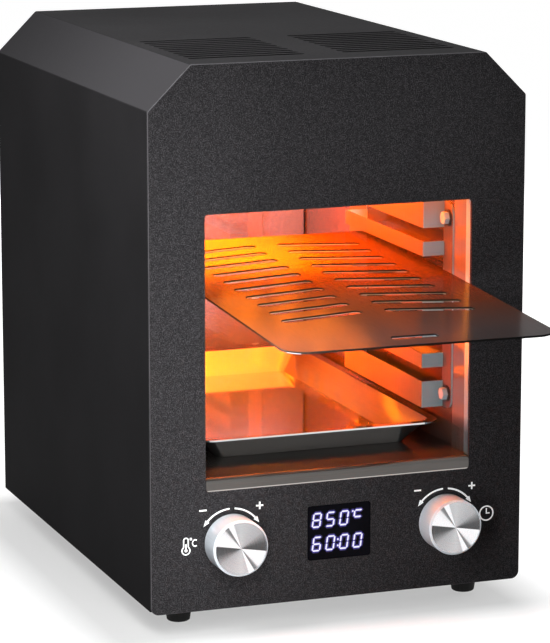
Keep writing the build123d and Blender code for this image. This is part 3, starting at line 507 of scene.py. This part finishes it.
FRONT_FACES = (forward, ("Normal", -0.5))
dress(smooth_coat(), "outer_casing", "rear_panel", "base_plate")
dress(grain_coat(), "front_panel")
dress(rubber(), "foot_front_left", "foot_front_right", "foot_rear_left", "foot_rear_right")
# Where painted shade darkens the wall's front part below the racks.
low_front = ((forward, ("Object", RACK_FRONT)), (fade, ("Z", RACK_LOW, WALL_SHADE)))
dress(
    brushed_steel(
        "wall_steel", level=0.30, rough=0.14, brush=ALONG_Z, metal=0.6, gloss=0.1,
        # Painted highlight: the hem's front strip is pale and cool so that it reads white in the orange glow.
        edges=[(forward, ("Object", HEM_END), (0.50, 0.80, 0.92))],
        # Painted shade: the wall behind the racks, and its front part below them, are darkened where the
        # racks shade them.
        painted_light_and_shade=[
            (fade, ("Y", RACK_FRONT, RACK_FRONT + SHARP), (0.45, 0.37, 0.31)),
            (both, low_front, (0.32, 0.48, 0.52)),
        ],
    ),
    "chamber_right_wall", "chamber_left_wall",
)
dress(
    brushed_steel(
        "back_steel", level=0.40, rough=0.03, brush=ALONG_Z, lines=0.04, metal=0.80, warm=-0.12,
        edges=[(outward, (CORNER_LINE,), grey(0.02))],
    ),
    "chamber_back_wall",
)
dress(
    brushed_steel("liner_steel", level=0.10, rough=0.22, brush=ALONG_X, metal=0.5, gloss=0.2),
    "chamber_roof", "front_heat_shield", "heater_bars",
)
dress(
    brushed_steel(
        "sill_steel", level=0.11, rough=0.14, brush=ALONG_X, lines=0.5, metal=0.7, gloss=0.2, warm=0.06,
        # Painted highlight: a pale line along the lowest edge of the sill's lip.
        edges=[(fade, ("Z", SILL_LINE + SHARP, SILL_LINE), grey(0.45, 0.05))],
    ),
    "chamber_floor",
)
dress(
    brushed_steel(
        "rack_steel", level=0.10, rough=0.25, brush=ALONG_Z, metal=0.0, gloss=0.05,
        # Painted highlight: faces that look to the front are pale and cool, as if lit white from the front.
        edges=[(*FRONT_FACES, (0.30, 0.42, 0.46))],
    ),
    "rack_right", "rack_left",
)
dress(
    brushed_steel(
        "tray_steel", level=0.86, rough=0.06, brush=ALONG_Y, lines=0.10, metal=0.985,
        edges=[(forward, ("Normal", -0.4), grey(0.7))],
        # Painted shade: faces turned to the left or right are darkened.
        painted_light_and_shade=[(sideways, (0.1, 0.7), grey(0.12))],
        matt=(sloping, (0.1, 0.95), 0.35),
    ),
    "drip_tray", "temperature_probe",
)
# Painted shade and painted highlight on the plate's front faces, slot walls and front edge.
slot_foot = (FRONT_FACES, (below, (PLATE_SLOPE, SLOT_SHADE)))
front_edge = (FRONT_FACES, (forward, ("Object", PLATE_EDGE)))
dress(
    brushed_steel(
        "plate_steel", level=0.038, rough=0.16, brush=ALONG_Y, metal=0.0, gloss=0.008,
        # Front faces and the front edge get painted shade; the lower part of the slot walls and the rounded
        # corners get a painted highlight.
        edges=[
            (*FRONT_FACES, grey(0.02)),
            (both, slot_foot, (0.36, 0.44, 0.52)),
            (both, front_edge, grey(0.02)),
        ],
        # Painted glow: the heater's orange light painted into the plate, fading in towards the rear.
        painted_light_and_shade=[(fade, ("Y", PAINTED_GLOW_START, PAINTED_GLOW_FULL), (0.97, 0.66, 0.38))],
    ),
    "grill_plate",
)
dress(
    plain_finish("zinc_plate", grey(0.55), grey(0.70), rough=0.28, scale=300.0, metal=1.0),
    "rear_screws", "base_screws", "foot_screws", "frame_nuts", "rack_nuts", "encoder_nuts",
    "board_screws", "chamber_support_front", "chamber_support_rear",
)
dress(
    # Bluish zinc plating, tinted cooler so that the bolts read white in the orange glow: partly painted
    # light.
    plain_finish("blue_zinc_and_painted_light", (0.36, 0.60, 0.70), (0.44, 0.70, 0.80), rough=0.35, scale=300.0, metal=0.3),
    "rack_bolts",
)
dress(plain_finish("blackened_steel", grey(0.010), grey(0.025), rough=0.5, scale=500.0), "rack_washers")
dress(glowing_tube(), "heating_element")
dress(
    plain_finish("ceramic", (0.62, 0.58, 0.50), (0.74, 0.70, 0.62), rough=0.7, scale=700.0),
    "heater_bushes",
)
dress(blanket(), "insulation_right", "insulation_left", "insulation_top", "insulation_rear")
dress(
    plain_finish("turned_brass", (0.62, 0.52, 0.30), (0.74, 0.64, 0.40), rough=0.3, scale=400.0, metal=1.0),
    "temperature_shaft", "timer_shaft", "board_standoffs",
)
dress(
    plain_finish("black_plastic", grey(0.010), grey(0.018), rough=0.45, scale=1200.0),
    "thermal_cutout", "temperature_encoder", "timer_encoder", "board_spacers", "power_relay",
    "power_switch_housing", "power_switch_rocker", "cord_gland", "gland_nut", "display_module",
)
dress(smoked_window(), "display_window")
dress(circuit_board(), "control_board", "power_board")
dress(
    plain_finish("core_varnish", (0.05, 0.045, 0.04), (0.09, 0.08, 0.07), rough=0.5, scale=300.0, metal=0.4),
    "transformer",
)
dress(
    plain_finish("grey_plastic", grey(0.32), grey(0.42), rough=0.5, scale=900.0),
    "control_ribbon", "terminal_block",
)
dress(
    plain_finish("lead_sleeve", (0.20, 0.05, 0.03), (0.30, 0.08, 0.05), rough=0.55, scale=1100.0),
    "heater_leads", "mains_leads",
)
for control in ("temperature", "timer"):
    middle = middle_of(control + "_knob")
    dress(spun_aluminium(control + "_aluminium", middle.x, middle.z), control + "_knob")


def start_piece(add, **settings):
    """Adds a primitive at the origin with nothing else selected, and opens it in edit mode."""
    bpy.ops.object.select_all(action="DESELECT")
    add(**settings)
    bpy.ops.object.mode_set(mode="EDIT")
    bpy.ops.mesh.select_mode(type="VERT")
    bpy.ops.mesh.select_all(action="SELECT")
    return bpy.context.object


def pick(kind, rule):
    """Selects the open piece's verts, edges or faces whose middle passes the rule, and nothing else."""
    bpy.ops.mesh.select_mode(type={"verts": "VERT", "edges": "EDGE", "faces": "FACE"}[kind])
    bpy.ops.mesh.select_all(action="DESELECT")
    form = bmesh.from_edit_mesh(bpy.context.object.data)
    for element in getattr(form, kind):
        if kind == "verts":
            middle = element.co
        else:
            middle = sum((corner.co for corner in element.verts), Vector()) / len(element.verts)
        element.select_set(rule(middle))
    form.select_flush_mode()
    bmesh.update_edit_mesh(bpy.context.object.data)


def move(x=0.0, y=0.0, z=0.0):
    """Shifts what is selected."""
    bpy.ops.transform.translate(value=(x, y, z))


def pull(x=0.0, y=0.0, z=0.0):
    """Extrudes what is selected."""
    bpy.ops.mesh.extrude_region_move(TRANSFORM_OT_translate={"value": (x, y, z)})


def end_piece():
    """Gives a flat drawing the thickness of its ink, turns faces outward and leaves edit mode."""
    bpy.ops.mesh.select_mode(type="FACE")
    bpy.ops.mesh.select_all(action="SELECT")
    bpy.ops.mesh.remove_doubles(threshold=1e-6)
    bpy.ops.mesh.select_all(action="SELECT")
    pull(z=INK_FILM)
    bpy.ops.mesh.select_all(action="SELECT")
    bpy.ops.mesh.normals_make_consistent(inside=False)
    bpy.ops.object.mode_set(mode="OBJECT")


def flat_bar(length, stroke):
    """A stroke with six corners, pointed at both ends, along X."""
    piece = start_piece(bpy.ops.mesh.primitive_circle_add, vertices=6, radius=stroke, fill_type="NGON")
    bpy.ops.transform.rotate(value=math.pi / 2, orient_axis="Z", center_override=ORIGIN)
    bpy.ops.transform.resize(value=(1.0, 1.0 / math.sqrt(3.0), 1.0))
    for side in (-1, 1):
        pick("verts", lambda place: place.x * side > 0)
        move(x=side * (length / 2 - stroke))
    end_piece()
    return piece


def flat_strip(width, height):
    """A square-ended stroke."""
    piece = start_piece(bpy.ops.mesh.primitive_plane_add, size=1.0)
    bpy.ops.transform.resize(value=(width, height, 1.0))
    end_piece()
    return piece


def flat_arc(radius, line, first=0.0, last=360.0):
    """A line of a circle, from the first angle to the last, counter-clockwise from +X in degrees."""
    piece = start_piece(bpy.ops.mesh.primitive_circle_add, vertices=ARC_STEPS, radius=radius + line / 2)
    inner = (radius - line / 2) / (radius + line / 2)
    bpy.ops.mesh.extrude_region_move()
    bpy.ops.transform.resize(value=(inner, inner, 1.0))
    pick("faces", lambda place: (math.degrees(math.atan2(place.y, place.x)) - first) % 360 > last - first)
    bpy.ops.mesh.delete(type="FACE")
    end_piece()
    return piece


def flat_disc(radius, corners=24):
    """A filled circle, or a triangle of 3 corners."""
    piece = start_piece(bpy.ops.mesh.primitive_circle_add, vertices=corners, radius=radius, fill_type="NGON")
    end_piece()
    return piece


def flat_cross(size, line):
    """Two strokes that cross, drawn out from a square."""
    piece = start_piece(bpy.ops.mesh.primitive_plane_add, size=line)
    arm = (size - line) / 2
    for x, y in ((1, 0), (-1, 0), (0, 1), (0, -1)):
        pick("edges", lambda place: (place - Vector((x, y, 0)) * line / 2).length < line * 0.1)
        pull(x=x * arm, y=y * arm)
    end_piece()
    return piece


def flat_hands(line, up, across):
    """A clock's two hands, drawn out from a square."""
    piece = start_piece(bpy.ops.mesh.primitive_plane_add, size=line)
    pick("edges", lambda place: place.y > line * 0.4)
    pull(y=up)
    pick("edges", lambda place: place.x > line * 0.4 and abs(place.y) < line * 0.1)
    pull(x=across)
    end_piece()
    return piece


def repeat(piece, places):
    """Replaces a piece by copies with meshes of their own, at the places given as matrices."""
    copies = []
    for place in places:
        copy = piece.copy()
        copy.data = piece.data.copy()
        copy.data.transform(place)
        bpy.context.scene.collection.objects.link(copy)
        copies.append(copy)
    bpy.data.objects.remove(piece)
    return copies


def at(x, y, turn=0.0, lift=0.0):
    """A place in a flat drawing, turned counter-clockwise in degrees."""
    return Matrix.Translation((x, y, lift)) @ Matrix.Rotation(math.radians(turn), 4, "Z")


def facing_front(face):
    """Stands a drawing up on a face that looks to the front."""
    return Matrix.Translation((0.0, face, 0.0)) @ Matrix.Rotation(math.pi / 2, 4, "X")


def facing_rear(place, tilt=0.0):
    """Stands a drawing up at a place that looks to the rear, tipped upward in degrees."""
    upright = Matrix.Rotation(math.radians(tilt), 4, "X") @ Matrix.Rotation(math.pi, 4, "Z")
    return Matrix.Translation(place) @ upright @ Matrix.Rotation(math.pi / 2, 4, "X")


def make_print(name, strokes, stand, material, body):
    """Joins flat strokes into one print and stands it up where it belongs."""
    bpy.ops.object.select_all(action="DESELECT")
    for stroke in strokes:
        stroke.select_set(True)
    bpy.context.view_layer.objects.active = strokes[0]
    if len(strokes) > 1:
        bpy.ops.object.join()
    made = bpy.context.object
    made.name = name
    made.data.transform(stand)
    made.data.materials.clear()
    made.data.materials.append(material)
    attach(made, body)


def lit_numbers(name, stroke, lift, material):
    """Temperature and time in seven-bar numbers, in strokes of one width."""
    across, down = DIGIT_WIDTH, DIGIT_HEIGHT / 2
    bars = {
        "a": (0, down, 0), "g": (0, 0, 0), "d": (0, -down, 0),
        "b": (across / 2, down / 2, 90), "c": (across / 2, -down / 2, 90),
        "f": (-across / 2, down / 2, 90), "e": (-across / 2, -down / 2, 90),
    }
    slant = Matrix.Identity(4)
    slant[0][1] = math.tan(math.radians(DIGIT_SLANT))
    wide, tall = [], []
    for row, lit in DISPLAY_ROWS:
        for column, letters in zip(DIGIT_COLUMNS, lit):
            for letter in letters:
                x, y, turn = bars[letter]
                place = at(column, row, lift=lift) @ slant @ at(x, y, turn)
                (tall if turn else wide).append(place)
    extra = stroke - DIGIT_STROKE - DIGIT_BREAK
    dots = [at(x, y, lift=lift) for x, y in DISPLAY_DOTS]
    strokes = repeat(flat_bar(across + extra, stroke), wide)
    strokes += repeat(flat_bar(down + extra, stroke), tall)
    strokes += repeat(flat_disc((stroke + DOT_EXTRA) / 2, DOT_CORNERS), dots)
    make_print(name, strokes, facing_front(WINDOW_FACE), material, "housing")


def knob_scale(control, ink):
    """Arrows to both sides over a knob, with a minus and a plus."""
    middle = middle_of(control + "_knob")
    strokes = []
    for tail, head in ARROW_ENDS:
        first, last = sorted((tail, head))
        strokes += repeat(flat_arc(ARROW_RADIUS, ARROW_LINE, first, last), [at(middle.x, middle.z)])
        onward = 90.0 if head > tail else -90.0
        tip = flat_disc(ARROW_HEAD, 3)
        tip.data.transform(Matrix.Scale(ARROW_STRETCH, 4, (0, 1, 0)))
        angle = math.radians(head)
        x = middle.x + ARROW_RADIUS * math.cos(angle)
        z = middle.z + ARROW_RADIUS * math.sin(angle)
        strokes += repeat(tip, [at(x, z, head + onward - 90.0)])
    strokes += repeat(flat_strip(SIGN_SIZE, SIGN_LINE), [at(middle.x + MINUS_ASIDE, SIGN_HEIGHT)])
    strokes += repeat(flat_cross(SIGN_SIZE, SIGN_LINE), [at(middle.x + PLUS_ASIDE, SIGN_HEIGHT)])
    make_print(control + "_scale", strokes, facing_front(PANEL_FACE), ink, "housing")


def thermometer(ink):
    """Thermometer outline with its column, and a degree sign with a C."""
    x, z = BULB_PLACE
    sides = [at(x + side * STEM_ASIDE, z + STEM_UP) for side in (-1, 1)]
    strokes = repeat(flat_arc(BULB_RADIUS, THIN_LINE, *BULB_ENDS), [at(x, z)])
    strokes += repeat(flat_strip(THIN_LINE, STEM_LENGTH), sides)
    strokes += repeat(flat_arc(STEM_ASIDE, THIN_LINE, last=180.0), [at(x, z + STEM_TOP)])
    strokes += repeat(flat_disc(COLUMN_RADIUS), [at(x, z)])
    strokes += repeat(flat_strip(THIN_LINE, COLUMN_LENGTH), [at(x, z + COLUMN_UP)])
    letter = flat_arc(LETTER_RADIUS, LETTER_LINE, *LETTER_ENDS)
    letter.data.transform(Matrix.Scale(LETTER_STRETCH, 4, (0, 1, 0)))
    strokes += repeat(letter, [at(*LETTER_PLACE)])
    strokes += repeat(flat_arc(DEGREE_RADIUS, DEGREE_LINE), [at(*DEGREE_PLACE)])
    make_print("temperature_sign", strokes, facing_front(PANEL_FACE), ink, "housing")


def clock(ink):
    """Clock face with two hands."""
    strokes = repeat(flat_arc(CLOCK_RADIUS, CLOCK_LINE), [at(*CLOCK_PLACE)])
    strokes += repeat(flat_hands(THIN_LINE, HAND_UP, HAND_ACROSS), [at(*CLOCK_PLACE)])
    make_print("timer_sign", strokes, facing_front(PANEL_FACE), ink, "housing")


def screw_crosses():
    """Cross slots in the heads of the rear panel's screws."""
    low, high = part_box("rear_screws")
    places = []
    for x in (low.x + SCREW_HEAD, high.x - SCREW_HEAD):
        for row, z in enumerate(SCREW_LEVELS):
            places.append(at(-x, z, SCREW_TURN + SCREW_TURN_STEP * row))
    slot_black = plain_finish("slot_black", grey(0.006), grey(0.016), rough=0.6, scale=900.0)
    strokes = repeat(flat_cross(CROSS_SIZE, CROSS_LINE), places)
    stand = facing_rear((0.0, high.y, 0.0))
    make_print("rear_screw_slots", strokes, stand, slot_black, "housing")


def rocker_marks(ink):
    """On and off marks, each on its own slope of the rocker."""
    tilt = math.radians(ROCKER_TILT)
    outward_line = Vector((0.0, math.cos(tilt), math.sin(tilt)))
    upward_line = Vector((0.0, -outward_line.z, outward_line.y))
    marks = {
        "on": (1, flat_strip(ON_WIDTH, ON_HEIGHT)),
        "off": (-1, flat_arc(OFF_RADIUS, OFF_LINE)),
    }
    for word, (side, stroke) in marks.items():
        place = ROCKER_PIVOT + outward_line * MARK_OUT + upward_line * side * MARK_UP
        stand = facing_rear(place, ROCKER_TILT - side * ROCKER_SLOPE)
        make_print("switch_" + word + "_mark", [stroke], stand, ink, "power_switch_rocker")


def add_camera():
    """Camera at the photograph's viewing angle."""
    sight = bpy.data.cameras.new("camera")
    sight.lens = CAMERA_LENS
    sight.sensor_width = CAMERA_SENSOR
    sight.clip_end = CAMERA_REACH
    camera = bpy.data.objects.new("camera", sight)
    bpy.context.scene.collection.objects.link(camera)
    camera.location = CAMERA_PLACE
    camera.rotation_euler = (math.radians(90 - CAMERA_DOWN), 0.0, math.radians(CAMERA_TURN))
    bpy.context.scene.camera = camera


def add_lamp(name, place, target, size, power, colour=WHITE, spread=180.0):
    """A soft rectangular lamp that faces a point and stays out of the picture and its mirror images."""
    light = bpy.data.lights.new(name, "AREA")
    light.shape = "RECTANGLE"
    light.size, light.size_y = size
    light.energy = power
    light.color = colour
    light.spread = math.radians(spread)
    lamp = bpy.data.objects.new(name, light)
    bpy.context.scene.collection.objects.link(lamp)
    lamp.location = place
    lamp.rotation_euler = (Vector(target) - Vector(place)).to_track_quat("-Z", "Y").to_euler()
    lamp.visible_camera = False
    lamp.visible_glossy = False


def seen_directly(wire):
    """1 for what the camera sees, straight or in metal and glass."""
    names = ("Is Camera Ray", "Is Glossy Ray", "Is Transmission Ray")
    straight, glossy, through = wire.node("LightPath").outputs(*names)
    return wire.maths("MINIMUM", straight + glossy + through, 1.0)


def add_surround():
    """White surround that gives little light."""
    world = bpy.data.worlds.new("surround")
    bpy.context.scene.world = world
    world.use_nodes = True
    wire = Wire(world.node_tree)
    backdrop = world.node_tree.nodes["Background"].inputs
    backdrop["Color"].default_value = opaque(WHITE)
    wire.feed(backdrop["Strength"], between(wire, seen_directly(wire), SURROUND_LIGHT, 1.0))


def add_floor():
    """Pale floor that keeps the shadow, with a painted shadow: darker close to the casing's footprint."""
    bpy.ops.object.select_all(action="DESELECT")
    bpy.ops.mesh.primitive_plane_add(size=FLOOR_SIZE, location=(0.0, 0.0, -FLOOR_DROP))
    floor = bpy.context.object
    floor.name = "floor"
    material, wire, surface = finish_named(
        "pale_floor", Roughness=0.9, Specular_IOR_Level=0.0, Emission_Strength=1.0
    )
    surface["Base Color"].default_value = opaque(grey(0.30))
    place = wire.node("TexCoord", out="Object")
    centred = wire.node("Mapping", sockets={"Vector": place, "Location": FOOTPRINT_SHIFT})
    mirrored = wire.node("VectorMath", {"operation": "ABSOLUTE"}, {0: centred})
    beyond = wire.node("VectorMath", {"operation": "SUBTRACT"}, {0: mirrored, 1: FOOTPRINT_HALF})
    outside = wire.node("VectorMath", {"operation": "MAXIMUM"}, {0: beyond, 1: ORIGIN})
    far = wire.node("VectorMath", {"operation": "LENGTH"}, {0: outside}, out="Value")
    # Painted shadow: the floor glows less close to the footprint's box.
    paleness = between(wire, rising(wire, far, SHADE_START, SHADE_END), FLOOR_SHADED, FLOOR_OPEN)
    wire.feed(surface["Emission Color"], blend(wire, seen_directly(wire) * paleness, BLACK, WHITE))
    floor.data.materials.append(material)


def add_lamps():
    """Lamps round the casing, then fills and the heater's glow inside the chamber."""
    add_lamp("key_lamp", (-0.12, -0.27, 0.17), (-0.10, -0.09, 0.17), size=(0.05, 0.34), power=0.72)
    add_lamp("side_lamp", (-0.29, -0.10, 0.56), (-0.10, 0.0, 0.32), size=(0.10, 0.40), power=2.4)
    add_lamp(
        "panel_fill", (0.07, -0.36, 0.36), (0.07, -0.09, 0.29),
        size=(0.08, 0.08), power=0.022, spread=55.0,
    )
    add_lamp("top_lamp", (-0.2, 0.1, 1.8), (0.0, 0.05, 0.3), size=(1.2, 1.2), power=2.0)
    add_lamp("right_lamp", (1.2, 0.35, 0.45), (0.1, 0.05, 0.18), size=(0.8, 0.8), power=12.0)
    add_lamp("rear_lamp", (0.30, 1.45, 0.45), (0.0, 0.2, 0.18), size=(0.8, 0.8), power=16.0)
    add_lamp("back_fill", (0.0, 0.03, 0.24), (0.0, 0.19, 0.24), size=(0.15, 0.02), power=0.14, spread=60.0)
    add_lamp("low_fill", (0.0, 0.155, 0.17), (0.0, 0.19, 0.15), size=(0.15, 0.01), power=0.03, spread=70.0)
    add_lamp(
        "low_glow", (-0.07, 0.05, 0.15), (0.07, 0.05, 0.15),
        size=(0.15, 0.05), power=0.7, colour=(1.0, 0.05, 0.0), spread=70.0,
    )
    add_lamp(
        "rear_glow", (-0.03, 0.04, 0.268), (-0.03, 0.03, 0.0),
        size=(0.09, 0.13), power=2.6, colour=(1.0, 0.31, 0.0), spread=80.0,
    )
    add_lamp(
        "heater_glow", (0.0, 0.05, 0.269), (0.0, 0.05, 0.0),
        size=(0.15, 0.22), power=4.4, colour=(1.0, 0.06, 0.0), spread=170.0,
    )


for layer, colour, wider, lift in DISPLAY_LAYERS:
    lit_numbers("display_" + layer, DIGIT_STROKE + wider, lift, lit_ink("lit_" + layer, colour))
# The white ink glows a little: painted light that keeps the prints bright.
glowing_white_ink = plain_finish("glowing_white_ink", grey(0.84), grey(0.95), rough=0.55, scale=900.0, glow=0.35)
knob_scale("temperature", glowing_white_ink)
knob_scale("timer", glowing_white_ink)
thermometer(glowing_white_ink)
clock(glowing_white_ink)
screw_crosses()
rocker_marks(glowing_white_ink)

bpy.context.scene.view_settings.view_transform = "Standard"
add_camera()
add_surround()
add_floor()
add_lamps()
